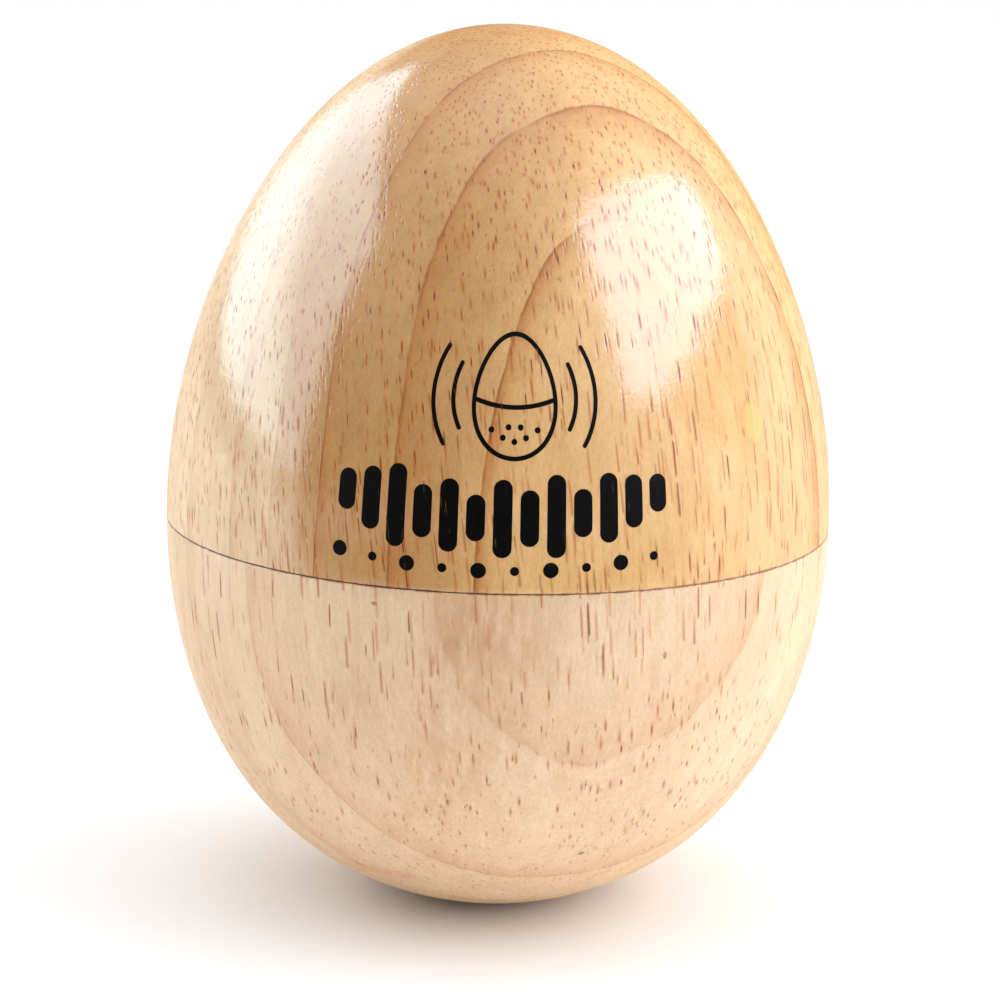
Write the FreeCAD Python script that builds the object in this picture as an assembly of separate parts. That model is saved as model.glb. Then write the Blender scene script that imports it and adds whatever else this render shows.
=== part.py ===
"""Egg shaker: two turned wooden shells, glued on a spigot joint, around loose steel shot.

Millimetres. +Z runs up the egg's long axis, and the origin is the middle of the small flat
on the blunt end, which the egg stands on. Every shell is a full turn about Z.
"""

import FreeCAD
import Part

import math
import os

# Outside shape
EGG_HEIGHT = 76.0          # from the base flat to the tip of the narrow end
EGG_DIAMETER = 57.6        # at the widest ring
BASE_FLAT_RADIUS = 5.0     # sanded flat that lets the egg stand on its blunt end
# c1, c2 and so on: the egg is an ellipse whose radius is multiplied by 1 + c1*t + c2*t^2 + ...,
# where t runs from -1 at the blunt end to 1 at the narrow one
EGG_SHAPE = (-0.104, 0.014, -0.014, 0.052)
SEAM_HEIGHT = 33.6         # middle of the glue between the shells, beside the widest ring

# Chamber
CHAMBER_RADIUS = 21.5      # of the bowl, of the straight wall and of the dome's rim
FLOOR_THICKNESS = 7.5      # wood under the lowest point of the bowl
ROOF_THICKNESS = 8.0       # wood over the highest point of the dome

# Spigot joint
SPIGOT_RADIUS = 25.0       # outside of the lower shell's spigot
SPIGOT_HEIGHT = 5.0        # above the seam
GLUE_THICKNESS = 0.1       # on the shoulder and round the spigot
END_GAP = 0.4              # between the spigot's rim and the end of the socket
LEAD_IN = 0.4              # chamfer round the spigot's outer rim
RIM_BREAK = 0.3            # chamfer round the spigot's inner rim
ARRIS = 0.05               # worn outer edge of each shell at the seam
BEAD_REACH = 1.7           # how far the squeezed-out glue runs in over the spigot's rim

# Steel shot, in rings that lie on the bowl round one in the middle
SHOT_DIAMETER = 3.5
SHOT_PITCH = 3.75          # between rings, seen from above, so that each one can fly straight up
SHOT_RING_COUNT = 3        # ring k holds SHOTS_PER_STEP * k
SHOTS_PER_STEP = 6
SHOT_CLEARANCE = 0.2       # to the bowl at rest, and to the dome at the top of the flight
RING_TURN_DEG = 11.0       # each ring is turned this much further than the one inside it

PROFILE_POINTS = 11        # points that each shell's outside spline goes through
SAME_POINT = 1e-7          # two points nearer than this are one
SLOPE_STEP = 1e-4          # half the rise over which the outside's slope is measured
HALVINGS = 60              # of the interval, when a height is searched for


def shape_factor(t):
    """How much wider than an ellipse the egg is at t."""
    return 1.0 + sum(c * t ** (k + 1) for k, c in enumerate(EGG_SHAPE))


def unit_radius(t):
    """The egg's radius at t, before it is scaled to EGG_DIAMETER."""
    return math.sqrt(max(0.0, 1.0 - t * t)) * shape_factor(t)


def widest_unit_radius():
    """The largest unit_radius, found on a fine grid."""
    steps = 4000
    return max(unit_radius(2.0 * k / steps - 1.0) for k in range(steps + 1))


RADIUS_SCALE = EGG_DIAMETER / 2.0 / widest_unit_radius()


def t_at_flat():
    """t where the base flat cuts the egg."""
    low, high = -1.0, 0.0
    for _ in range(HALVINGS):
        middle = (low + high) / 2.0
        if RADIUS_SCALE * unit_radius(middle) < BASE_FLAT_RADIUS:
            low = middle
        else:
            high = middle
    return low


T_FLAT = t_at_flat()
HALF_LENGTH = EGG_HEIGHT / (1.0 - T_FLAT)    # of the whole egg, before the flat is cut


def height_at(t):
    """Height above the base flat."""
    return HALF_LENGTH * (t - T_FLAT)


def t_at(z):
    return T_FLAT + z / HALF_LENGTH


def outer_radius(z):
    """The egg's outside radius at height z."""
    return RADIUS_SCALE * unit_radius(t_at(z))


def point(r, z):
    """A point in the XZ plane, where every outline is drawn."""
    return FreeCAD.Vector(r, 0, z)


def outer_slope(z):
    """A tangent of the outside curve at height z, pointing up."""
    change = outer_radius(z + SLOPE_STEP) - outer_radius(z - SLOPE_STEP)
    return point(change, 2.0 * SLOPE_STEP)


def polyline(*corners):
    """Straight edges from corner to corner, each (r, z), leaving out any of no length."""
    points = [point(r, z) for r, z in corners]
    pairs = zip(points, points[1:])
    return [Part.makeLine(a, b) for a, b in pairs if (a - b).Length > SAME_POINT]


def outside_edge(z_low, z_high):
    """The egg's outside from z_low up to z_high: one spline, through points at even steps of latitude."""
    at_tip = z_high == EGG_HEIGHT
    latitude = math.asin(t_at(z_low))
    step = (math.asin(min(1.0, t_at(z_high))) - latitude) / (PROFILE_POINTS - 1)
    points = [point(outer_radius(z_low), z_low)]
    for _ in range(PROFILE_POINTS - 2):
        latitude += step
        z = height_at(math.sin(latitude))
        points.append(point(outer_radius(z), z))
    points.append(point(0.0 if at_tip else outer_radius(z_high), z_high))
    start = outer_slope(z_low)
    end = point(-1.0, 0.0) if at_tip else outer_slope(z_high)
    curve = Part.BSplineCurve()
    curve.interpolate(Points=points, InitialTangent=start, FinalTangent=end)
    return curve.toShape()


def turned(edges):
    """The solid that a closed outline in the XZ plane sweeps in a full turn about Z."""
    outline = Part.Wire(Part.__sortEdges__(edges))
    return Part.Face(outline).revolve(FreeCAD.Vector(), FreeCAD.Vector(0, 0, 1), 360)


# Heights and radii that both shells share
LOWER_SHOULDER = SEAM_HEIGHT - GLUE_THICKNESS / 2.0
UPPER_SHOULDER = SEAM_HEIGHT + GLUE_THICKNESS / 2.0
SEAM_RADIUS = outer_radius(SEAM_HEIGHT)
SPIGOT_TOP = SEAM_HEIGHT + SPIGOT_HEIGHT
SOCKET_RADIUS = SPIGOT_RADIUS + GLUE_THICKNESS
SOCKET_END = SPIGOT_TOP + END_GAP
BOWL_CENTRE = FLOOR_THICKNESS + CHAMBER_RADIUS
DOME_RISE = EGG_HEIGHT - ROOF_THICKNESS - SOCKET_END


def lower_shell():
    """The blunt half: base flat, bowl and upstanding spigot."""
    low_edge = LOWER_SHOULDER - ARRIS
    diagonal = CHAMBER_RADIUS * math.sqrt(0.5)
    bowl = Part.Arc(
        point(CHAMBER_RADIUS, BOWL_CENTRE),
        point(diagonal, BOWL_CENTRE - diagonal),
        point(0.0, BOWL_CENTRE - CHAMBER_RADIUS),
    ).toShape()
    rim = polyline(
        (outer_radius(low_edge), low_edge),
        (SEAM_RADIUS - ARRIS, LOWER_SHOULDER),
        (SPIGOT_RADIUS, LOWER_SHOULDER),
        (SPIGOT_RADIUS, SPIGOT_TOP - LEAD_IN),
        (SPIGOT_RADIUS - LEAD_IN, SPIGOT_TOP),
        (CHAMBER_RADIUS + RIM_BREAK, SPIGOT_TOP),
        (CHAMBER_RADIUS, SPIGOT_TOP - RIM_BREAK),
        (CHAMBER_RADIUS, BOWL_CENTRE),
    )
    foot = polyline((0.0, FLOOR_THICKNESS), (0.0, 0.0), (outer_radius(0.0), 0.0))
    return turned(foot + [outside_edge(0.0, low_edge)] + rim + [bowl])


def upper_shell():
    """The narrow half: domed roof, and a socket that drops over the spigot."""
    high_edge = UPPER_SHOULDER + ARRIS
    dome = Part.Ellipse(
        point(0.0, SOCKET_END + DOME_RISE),
        point(CHAMBER_RADIUS, SOCKET_END),
        point(0.0, SOCKET_END),
    ).toShape(0.0, math.pi / 2.0)
    rim = polyline(
        (outer_radius(high_edge), high_edge),
        (SEAM_RADIUS - ARRIS, UPPER_SHOULDER),
        (SOCKET_RADIUS, UPPER_SHOULDER),
        (SOCKET_RADIUS, SOCKET_END),
        (CHAMBER_RADIUS, SOCKET_END),
    )
    tip = polyline((0.0, EGG_HEIGHT), (0.0, EGG_HEIGHT - ROOF_THICKNESS))
    return turned([outside_edge(high_edge, EGG_HEIGHT)] + rim + [dome] + tip)


def glue_film():
    """Cured glue: across the shoulders, round the spigot, and squeezed in over the spigot's rim."""
    return turned(
        polyline(
            (SEAM_RADIUS - ARRIS, LOWER_SHOULDER),
            (SEAM_RADIUS - ARRIS, UPPER_SHOULDER),
            (SOCKET_RADIUS, UPPER_SHOULDER),
            (SOCKET_RADIUS, SOCKET_END),
            (SPIGOT_RADIUS - BEAD_REACH, SOCKET_END),
            (SPIGOT_RADIUS - BEAD_REACH, SPIGOT_TOP),
            (SPIGOT_RADIUS - LEAD_IN, SPIGOT_TOP),
            (SPIGOT_RADIUS, SPIGOT_TOP - LEAD_IN),
            (SPIGOT_RADIUS, LOWER_SHOULDER),
            (SEAM_RADIUS - ARRIS, LOWER_SHOULDER),
        )
    )


def shot_rest_height(ring_radius):
    """Height of a shot's centre where it lies on the bowl, this far from the axis."""
    reach = CHAMBER_RADIUS - SHOT_DIAMETER / 2.0 - SHOT_CLEARANCE
    return BOWL_CENTRE - math.sqrt(reach * reach - ring_radius * ring_radius)


def shot_top_height(ring_radius):
    """Height of a shot's centre where it just clears the dome, this far from the axis."""
    keep_off = SHOT_DIAMETER / 2.0 + SHOT_CLEARANCE
    low, high = 0.0, math.pi / 2.0
    for _ in range(HALVINGS):
        angle = (low + high) / 2.0
        across = math.cos(angle) / CHAMBER_RADIUS
        up = math.sin(angle) / DOME_RISE
        inward = keep_off / math.hypot(across, up)
        if CHAMBER_RADIUS * math.cos(angle) - inward * across > ring_radius:
            low = angle
        else:
            high = angle
    return SOCKET_END + DOME_RISE * math.sin(angle) - inward * up


def shot_places():
    """(x, y, z, travel) of each shot, from the middle out: its centre at rest, and how far it flies up."""
    places = []
    for ring in range(SHOT_RING_COUNT + 1):
        radius = ring * SHOT_PITCH
        count = max(1, SHOTS_PER_STEP * ring)
        rest = shot_rest_height(radius)
        travel = shot_top_height(radius) - rest
        for k in range(count):
            angle = 2.0 * math.pi * k / count + math.radians(RING_TURN_DEG * ring)
            places.append((radius * math.cos(angle), radius * math.sin(angle), rest, travel))
    return places


def main():
    pieces = {
        "upper_shell": upper_shell(),
        "lower_shell": lower_shell(),
        "glue_film": glue_film(),
    }
    for number, (x, y, z, _travel) in enumerate(shot_places(), start=1):
        centre = FreeCAD.Vector(x, y, z)
        pieces[f"steel_shot_{number:02d}"] = Part.makeSphere(SHOT_DIAMETER / 2.0, centre)

    os.makedirs("parts", exist_ok=True)
    for name, shape in pieces.items():
        if not shape.isValid() or len(shape.Solids) != 1:
            raise ValueError(f"{name} isn't one valid solid")
        shape.exportStep(os.path.join("parts", name + ".step"))


main()
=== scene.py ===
"""Egg shaker: two turned wooden shells, the glue between them, loose steel shot and a black print.

The shells' skins and the print are built here, in millimetres, and put in the frame in metres.
+Z runs up the egg's long axis, and the egg stands on the small flat at the origin. The front,
which carries the print, faces -Y.
"""

import math

import bpy
import numpy as np
from mathutils import Matrix, Vector

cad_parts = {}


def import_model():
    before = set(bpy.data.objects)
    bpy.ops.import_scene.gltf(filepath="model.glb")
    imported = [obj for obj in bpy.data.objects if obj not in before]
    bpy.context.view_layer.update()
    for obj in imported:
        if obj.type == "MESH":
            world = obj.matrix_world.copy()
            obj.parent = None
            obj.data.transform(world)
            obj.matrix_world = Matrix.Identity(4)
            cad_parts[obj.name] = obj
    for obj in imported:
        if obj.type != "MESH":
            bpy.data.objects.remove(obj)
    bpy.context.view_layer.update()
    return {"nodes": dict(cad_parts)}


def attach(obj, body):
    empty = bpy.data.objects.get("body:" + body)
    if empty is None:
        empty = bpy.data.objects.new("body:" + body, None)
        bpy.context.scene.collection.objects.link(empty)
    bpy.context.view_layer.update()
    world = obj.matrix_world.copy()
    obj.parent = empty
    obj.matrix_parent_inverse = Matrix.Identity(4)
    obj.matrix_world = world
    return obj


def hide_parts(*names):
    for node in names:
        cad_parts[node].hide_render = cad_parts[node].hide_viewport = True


MM = 0.001                 # metres in a millimetre
SEED = 20                  # of every random draw

# Outside shape, as the CAD has it
EGG_HEIGHT = 76.0
EGG_DIAMETER = 57.6
BASE_FLAT_RADIUS = 5.0
EGG_SHAPE = (-0.104, 0.014, -0.014, 0.052)
SEAM_HEIGHT = 33.6
GLUE_THICKNESS = 0.1

# Inside, as the CAD has it
CHAMBER_RADIUS = 21.5
FLOOR_THICKNESS = 7.5
ROOF_THICKNESS = 8.0
SPIGOT_RADIUS = 25.0
SPIGOT_TOP = 38.6
SOCKET_RADIUS = 25.1
SOCKET_END = 39.0
LEAD_IN = 0.4
RIM_BREAK = 0.3

# Meshes
COLUMNS = 320              # round the egg
OUTSIDE_STEP = 0.23        # between rows of the outside, along its outline
SEAM_MARGIN = 0.35         # from a shoulder to the nearest of those rows
INSIDE_ROWS = 26           # over the bowl, and over the dome
ARRIS_ROWS = 5             # round each shell's worn outer edge at the seam
ARRIS = 0.035              # usual radius of that edge
ARRIS_LEAST = 0.015
ARRIS_UNEVEN = 0.09        # share of ARRIS by which each of its waves changes it
CHIP = 0.07                # how much more the largest chip takes off it
CHIP_COUNT = 22
CHIP_WIDTH_DEG = 2.4
SHARP_ANGLE_DEG = 35.0     # edges that turn further than this are shaded sharp

# Tool marks left in the outside, as waves
RIDGES = 7                 # turned rings
RIDGE_PITCH = (1.3, 4.0)
RIDGE_HEIGHT = 0.0008
DENTS = 24                 # waves of unevenness left by hand sanding
DENT_PITCH = (8.0, 16.0)
DENT_HEIGHT = 0.0016

# Print
INK_THICKNESS = 0.012      # how far it stands proud, and how far it is let into the varnish
INK_STEP = 0.3             # between rows of a stroke
INK_CELL = 0.4             # widest cell across a stroke
CAP_ROWS = (0.02, 0.15, 0.35, 0.6, 0.85)    # rows of a rounded end, as shares of half the stroke's width

# Camera, at the photograph's viewing angle
CAMERA_AIM_HEIGHT = 37.79
CAMERA_DISTANCE = 261.3
CAMERA_ELEVATION_DEG = 11.79
CAMERA_ROLL_DEG = 1.48
CAMERA_LENS = 107.93
CAMERA_SHIFT = (0.001, -0.0335)


def srgb(red, green, blue):
    """A linear colour from 8-bit display values."""
    def linear(value):
        value /= 255.0
        return value / 12.92 if value <= 0.04045 else ((value + 0.055) / 1.055) ** 2.4
    return (linear(red), linear(green), linear(blue), 1.0)


# ---------------------------------------------------------------- outside shape

def unit_radius(t):
    """The egg's radius at t, from -1 at the blunt end to 1 at the narrow one, before scaling."""
    factor = 1.0 + sum(c * t ** (k + 1) for k, c in enumerate(EGG_SHAPE))
    return np.sqrt(np.maximum(0.0, 1.0 - t * t)) * factor


RADIUS_SCALE = EGG_DIAMETER / 2.0 / unit_radius(np.linspace(-1.0, 1.0, 4001)).max()


def t_at_flat():
    """t where the base flat cuts the egg."""
    low, high = -1.0, 0.0
    for _ in range(60):
        middle = (low + high) / 2.0
        if RADIUS_SCALE * unit_radius(middle) < BASE_FLAT_RADIUS:
            low = middle
        else:
            high = middle
    return low


T_FLAT = t_at_flat()
HALF_LENGTH = EGG_HEIGHT / (1.0 - T_FLAT)


def egg_radius(z):
    return RADIUS_SCALE * unit_radius(T_FLAT + np.asarray(z, float) / HALF_LENGTH)


def outline_table():
    """Heights and distances along the outside, closely spaced, from the base flat to the tip."""
    latitude = np.linspace(math.asin(T_FLAT), math.pi / 2.0, 20001)
    z = HALF_LENGTH * (np.sin(latitude) - T_FLAT)
    r = egg_radius(z)
    length = np.concatenate([[0.0], np.cumsum(np.hypot(np.diff(r), np.diff(z)))])
    return z, length


TABLE_Z, TABLE_LENGTH = outline_table()


def even_heights(z_low, z_high):
    """Heights from z_low to z_high, OUTSIDE_STEP apart along the outline."""
    start, end = np.interp((z_low, z_high), TABLE_Z, TABLE_LENGTH)
    count = max(2, round((end - start) / OUTSIDE_STEP) + 1)
    return np.interp(np.linspace(start, end, count), TABLE_LENGTH, TABLE_Z)


def tool_marks():
    """(wave vectors, phases, heights) of the sanding waves, and (pitches, phases) of the turned rings."""
    draw = np.random.default_rng(SEED)
    directions = draw.normal(size=(DENTS, 3))
    directions /= np.linalg.norm(directions, axis=1)[:, None]
    waves = directions * (2.0 * math.pi / draw.uniform(*DENT_PITCH, DENTS))[:, None]
    phases = draw.uniform(0.0, 2.0 * math.pi, DENTS)
    ring_pitches = draw.uniform(*RIDGE_PITCH, RIDGES)
    ring_phases = draw.uniform(0.0, 2.0 * math.pi, RIDGES)
    return waves, phases, ring_pitches, ring_phases


WAVES, WAVE_PHASES, RING_PITCHES, RING_PHASES = tool_marks()


def relief(x, y, z):
    """How far the worked surface stands out from the true egg."""
    height = np.zeros(np.shape(x))
    for wave, phase in zip(WAVES, WAVE_PHASES):
        height += DENT_HEIGHT * np.sin(wave[0] * x + wave[1] * y + wave[2] * z + phase)
    along = np.interp(z, TABLE_Z, TABLE_LENGTH)
    for pitch, phase in zip(RING_PITCHES, RING_PHASES):
        height += RIDGE_HEIGHT * np.sin(2.0 * math.pi * along / pitch + phase)
    return height


def outside_points(angle, z, proud=0.0):
    """Points of the worked outside at angle from the front towards +X, and height z, as an (n, 3) array."""
    angle, z = np.broadcast_arrays(np.asarray(angle, float), np.asarray(z, float))
    step = 1e-3
    r = egg_radius(z)
    slope = (egg_radius(np.minimum(z + step, EGG_HEIGHT)) - egg_radius(z - step)) / (2.0 * step)
    x, y = r * np.sin(angle), -r * np.cos(angle)
    out = (relief(x, y, z) + proud) / np.sqrt(1.0 + slope * slope)
    return np.stack([x + out * np.sin(angle), y - out * np.cos(angle), z - out * slope], axis=-1)


# ---------------------------------------------------------------- meshes

def make_object(name, points, faces, smooth=True):
    """A mesh object from millimetre points."""
    mesh = bpy.data.meshes.new(name)
    mesh.from_pydata((np.asarray(points) * MM).tolist(), [], faces)
    mesh.update()
    if smooth:
        mesh.shade_smooth()
    else:
        mesh.shade_flat()
    item = bpy.data.objects.new(name, mesh)
    bpy.context.scene.collection.objects.link(item)
    return item


def circle_angles():
    return np.linspace(0.0, 2.0 * math.pi, COLUMNS, endpoint=False)


def plain_rows(corners):
    """Rows of a full turn for each (r, z) of corners."""
    angle = circle_angles()
    return [np.stack([r * np.sin(angle), -r * np.cos(angle), np.full(COLUMNS, z)], axis=-1)
            for r, z in corners]


def outside_rows(heights):
    return [outside_points(circle_angles(), z) for z in heights]


def arris_size(draw):
    """Radius of the worn edge at each column: a little uneven, with small chips."""
    angle = circle_angles()
    size = np.full(COLUMNS, ARRIS)
    for turns in range(2, 12):
        size += ARRIS * ARRIS_UNEVEN * np.sin(turns * angle + draw.uniform(0.0, 2.0 * math.pi))
    width = math.radians(CHIP_WIDTH_DEG)
    for _ in range(CHIP_COUNT):
        away = np.angle(np.exp(1j * (angle - draw.uniform(0.0, 2.0 * math.pi))))
        size += CHIP * draw.uniform(0.1, 1.0) ** 2 * np.exp(-(away / width / draw.uniform(0.3, 1.0)) ** 2)
    return np.maximum(size, ARRIS_LEAST)


def arris_rows(shoulder, up, draw):
    """Rows from the outside round the worn edge to the shoulder. up is 1 if the shell lies above it."""
    angle = circle_angles()
    size = arris_size(draw)
    rim = outside_points(angle, shoulder)
    rim_radius = np.hypot(rim[:, 0], rim[:, 1])
    rows = []
    for turn in np.linspace(0.0, math.pi / 2.0, ARRIS_ROWS):
        r = rim_radius - size * (1.0 - math.cos(turn))
        z = shoulder + up * size * (1.0 - math.sin(turn))
        rows.append(np.stack([r * np.sin(angle), -r * np.cos(angle), z], axis=-1))
    return rows


def turned(name, start, rows, end, outside_bands):
    """A closed skin: start point, rows of COLUMNS points, end point. outside_bands says which bands
    between rows take the first material; the others take the second."""
    points = np.concatenate([[start], *rows, [end]])
    column = np.arange(COLUMNS)
    after = (column + 1) % COLUMNS
    faces = [(0, 1 + a, 1 + b) for a, b in zip(column.tolist(), after.tolist())]
    bands = [-1] * COLUMNS
    for band in range(len(rows) - 1):
        low = 1 + band * COLUMNS
        high = low + COLUMNS
        block = np.stack([low + column, high + column, high + after, low + after], axis=-1)
        faces += block.tolist()
        bands += [band] * COLUMNS
    last = 1 + (len(rows) - 1) * COLUMNS
    faces += [(last + a, len(points) - 1, last + b) for a, b in zip(column.tolist(), after.tolist())]
    bands += [len(rows) - 1] * COLUMNS
    item = make_object(name, points, faces)
    outside = np.array([0 if band in outside_bands else 1 for band in range(-1, len(rows))], np.int32)
    item.data.polygons.foreach_set("material_index", outside[np.array(bands) + 1])
    item.data.set_sharp_from_angle(angle=math.radians(SHARP_ANGLE_DEG))
    return item


def upper_skin(draw):
    """The narrow half: from the tip down the outside, in under the shoulder and up into the dome."""
    shoulder = SEAM_HEIGHT + GLUE_THICKNESS / 2.0
    heights = even_heights(shoulder + SEAM_MARGIN, EGG_HEIGHT)[::-1][1:]
    outside = outside_rows(heights) + arris_rows(shoulder, 1.0, draw)
    rise = EGG_HEIGHT - ROOF_THICKNESS - SOCKET_END
    dome = [(CHAMBER_RADIUS * math.cos(a), SOCKET_END + rise * math.sin(a))
            for a in np.linspace(0.0, math.pi / 2.0, INSIDE_ROWS + 1)[:-1]]
    socket = [(SOCKET_RADIUS, shoulder), (SOCKET_RADIUS, SOCKET_END)]
    rows = outside + plain_rows(socket + dome)
    tip = float(outside_points(0.0, EGG_HEIGHT)[2])
    roof = EGG_HEIGHT - ROOF_THICKNESS
    outside_bands = set(range(-1, len(outside) - 1))
    return turned("upper_shell_wood", (0.0, 0.0, tip), rows, (0.0, 0.0, roof), outside_bands)


def lower_skin(draw):
    """The blunt half: up the bowl, over the spigot, out over the shoulder and down to the flat."""
    shoulder = SEAM_HEIGHT - GLUE_THICKNESS / 2.0
    centre = FLOOR_THICKNESS + CHAMBER_RADIUS
    bowl = [(CHAMBER_RADIUS * math.sin(a), centre - CHAMBER_RADIUS * math.cos(a))
            for a in np.linspace(0.0, math.pi / 2.0, INSIDE_ROWS + 1)[1:]]
    spigot = [
        (CHAMBER_RADIUS, SPIGOT_TOP - RIM_BREAK),
        (CHAMBER_RADIUS + RIM_BREAK, SPIGOT_TOP),
        (SPIGOT_RADIUS - LEAD_IN, SPIGOT_TOP),
        (SPIGOT_RADIUS, SPIGOT_TOP - LEAD_IN),
        (SPIGOT_RADIUS, shoulder),
    ]
    inside = plain_rows(bowl + spigot)
    heights = even_heights(0.0, shoulder - SEAM_MARGIN)[::-1]
    skin = outside_rows(heights)
    skin[-1][:, 2] = 0.0
    outside = arris_rows(shoulder, -1.0, draw)[::-1] + skin
    rows = inside + outside + plain_rows([(BASE_FLAT_RADIUS * 0.5, 0.0)])
    outside_bands = set(range(len(inside), len(rows) + 1))
    return turned("lower_shell_wood", (0.0, 0.0, FLOOR_THICKNESS), rows, (0.0, 0.0, 0.0), outside_bands)


# ---------------------------------------------------------------- print

def smooth_path(points, closed):
    """points with more between them, INK_STEP apart, and the path's direction at each."""
    points = np.asarray(points, float)
    ring = np.vstack([points, points[:1]]) if closed else points
    lengths = np.concatenate([[0.0], np.cumsum(np.linalg.norm(np.diff(ring, axis=0), axis=1))])
    count = max(2, math.ceil(lengths[-1] / INK_STEP) + 1)
    along = np.linspace(0.0, lengths[-1], count)
    path = np.stack([np.interp(along, lengths, ring[:, k]) for k in range(2)], axis=-1)
    if closed:
        path = path[:-1]
        ahead, behind = np.roll(path, -1, axis=0), np.roll(path, 1, axis=0)
    else:
        ahead = np.vstack([path[1:], path[-1:]])
        behind = np.vstack([path[:1], path[:-1]])
    direction = ahead - behind
    direction /= np.linalg.norm(direction, axis=1)[:, None]
    return path, direction


class Ink:
    """Collects strokes, drawn in s (millimetres round from the front) and z, into one closed film each."""

    def __init__(self):
        self.points, self.faces = [], []

    def film(self, grid, closed):
        """A film over grid, an (along, across, 2) array of (s, z)."""
        along, across = grid.shape[:2]
        first = len(self.points)
        angle, z = grid[..., 0] / (EGG_DIAMETER / 2.0), grid[..., 1]
        for proud in (INK_THICKNESS, -INK_THICKNESS):
            self.points += outside_points(angle, z, proud).reshape(-1, 3).tolist()
        under = along * across

        def at(i, j, layer):
            return first + layer * under + (i % along) * across + j

        steps = along if closed else along - 1
        for i in range(steps):
            for j in range(across - 1):
                a, b, c, d = (i, j), (i + 1, j), (i + 1, j + 1), (i, j + 1)
                self.faces.append([at(*p, 0) for p in (a, b, c, d)])
                self.faces.append([at(*p, 1) for p in (d, c, b, a)])
            for j, turn in ((0, 1), (across - 1, -1)):
                side = [at(i, j, 0), at(i, j, 1), at(i + 1, j, 1), at(i + 1, j, 0)]
                self.faces.append(side[::turn])
        if not closed:
            for i, turn in ((0, -1), (along - 1, 1)):
                for j in range(across - 1):
                    side = [at(i, j, 0), at(i, j, 1), at(i, j + 1, 1), at(i, j + 1, 0)]
                    self.faces.append(side[::turn])

    def stroke(self, points, width, closed=False):
        """A line of this width along points, its open ends rounded."""
        path, direction = smooth_path(points, closed)
        half = np.full(len(path), width / 2.0)
        if not closed:
            gone = np.concatenate([[0.0], np.cumsum(np.linalg.norm(np.diff(path, axis=0), axis=1))])
            cap = np.array(CAP_ROWS) * width / 2.0
            along = np.unique(np.concatenate([gone, cap, gone[-1] - cap]))
            along = along[(along >= cap[0]) & (along <= gone[-1] - cap[0])]
            path = np.stack([np.interp(along, gone, path[:, k]) for k in range(2)], axis=-1)
            direction = np.stack([np.interp(along, gone, direction[:, k]) for k in range(2)], axis=-1)
            end = np.minimum(np.minimum(along, gone[-1] - along), width / 2.0)
            half = np.sqrt(np.maximum((width / 2.0) ** 2 - (width / 2.0 - end) ** 2, 1e-6))
        side = np.stack([-direction[:, 1], direction[:, 0]], axis=-1)
        across = max(2, math.ceil(width / INK_CELL) + 1)
        share = np.linspace(1.0, -1.0, across)
        grid = path[:, None, :] + side[:, None, :] * (half[:, None] * share[None, :])[..., None]
        self.film(grid, closed)

    def dot(self, s, z, radius):
        """A filled dot: a film between its middle and its rim."""
        angles = np.linspace(0.0, 2.0 * math.pi, DOT_CORNERS, endpoint=False)
        rim = radius * np.stack([np.cos(angles), np.sin(angles)], axis=-1)
        grid = np.array([s, z]) + rim[:, None, :] * np.array(DOT_RINGS)[None, :, None]
        self.film(grid, True)


# Places on the print are s, round from the middle of the front, and z
BAR_COUNT = 13
BAR_PITCH = 2.14
BAR_WIDTH = 1.5
BAR_MIDDLE = (0.4, 39.55)
BAR_HEIGHT = 6.5           # of the tallest
BAR_SHARES = (0.5, 0.76, 1.0, 0.64, 0.88, 0.56, 0.94, 0.68, 1.0, 0.58, 0.84, 0.64, 0.46)
BAND_CURVE = 0.010         # how much the print's rows rise towards their ends, per millimetre squared
DOT_ROW_HEIGHT = 35.45
DOT_ROW_CURVE = 0.55       # share of that rise which the row of dots has
DOT_COUNT = 10
DOT_PITCH = 2.85
DOT_RADII = (0.62, 0.36)   # large and small in turn
DOT_CORNERS = 20
DOT_RINGS = (0.001, 0.5, 1.0)               # shares of a dot's radius at which its rings of points lie
ICON_MIDDLE = (1.2, 48.9)
ICON_SIZE = (3.4, 4.7)     # half its width and half its height
ICON_TAPER = 0.13          # share by which it is narrower at its tip, and wider at its foot
ICON_SEAM = 3.35           # half the width of the seam drawn across it
ICON_SEAM_DROP = 0.2       # of the seam's ends, below its middle
ICON_SEAM_SAG = 0.6
ICON_SHOT_RADIUS = 0.24
ICON_SHOT = ((-1.9, -2.5), (-0.95, -3.1), (0.0, -3.4), (0.95, -3.1), (1.9, -2.5), (-0.5, -2.3), (0.5, -2.3))
SOUND_STROKES = ((5.2, 30.0), (6.9, 34.0))    # radius about the icon's middle, and half angle in degrees
LINE_WIDTH = 0.36


def band_rise(s):
    return BAND_CURVE * s * s


def print_bars(ink):
    """A row of upright bars of different heights, like a picture of a sound."""
    for k in range(BAR_COUNT):
        s = BAR_MIDDLE[0] + (k - (BAR_COUNT - 1) / 2.0) * BAR_PITCH
        z = BAR_MIDDLE[1] + band_rise(s)
        half = BAR_HEIGHT * BAR_SHARES[k] / 2.0
        ink.stroke([(s, z - half), (s, z + half)], BAR_WIDTH)


def print_dots(ink):
    """A row of dots under the bars, large and small in turn."""
    for k in range(DOT_COUNT):
        s = (k - (DOT_COUNT - 1) / 2.0) * DOT_PITCH
        ink.dot(s, DOT_ROW_HEIGHT + DOT_ROW_CURVE * band_rise(s), DOT_RADII[k % 2])


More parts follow.
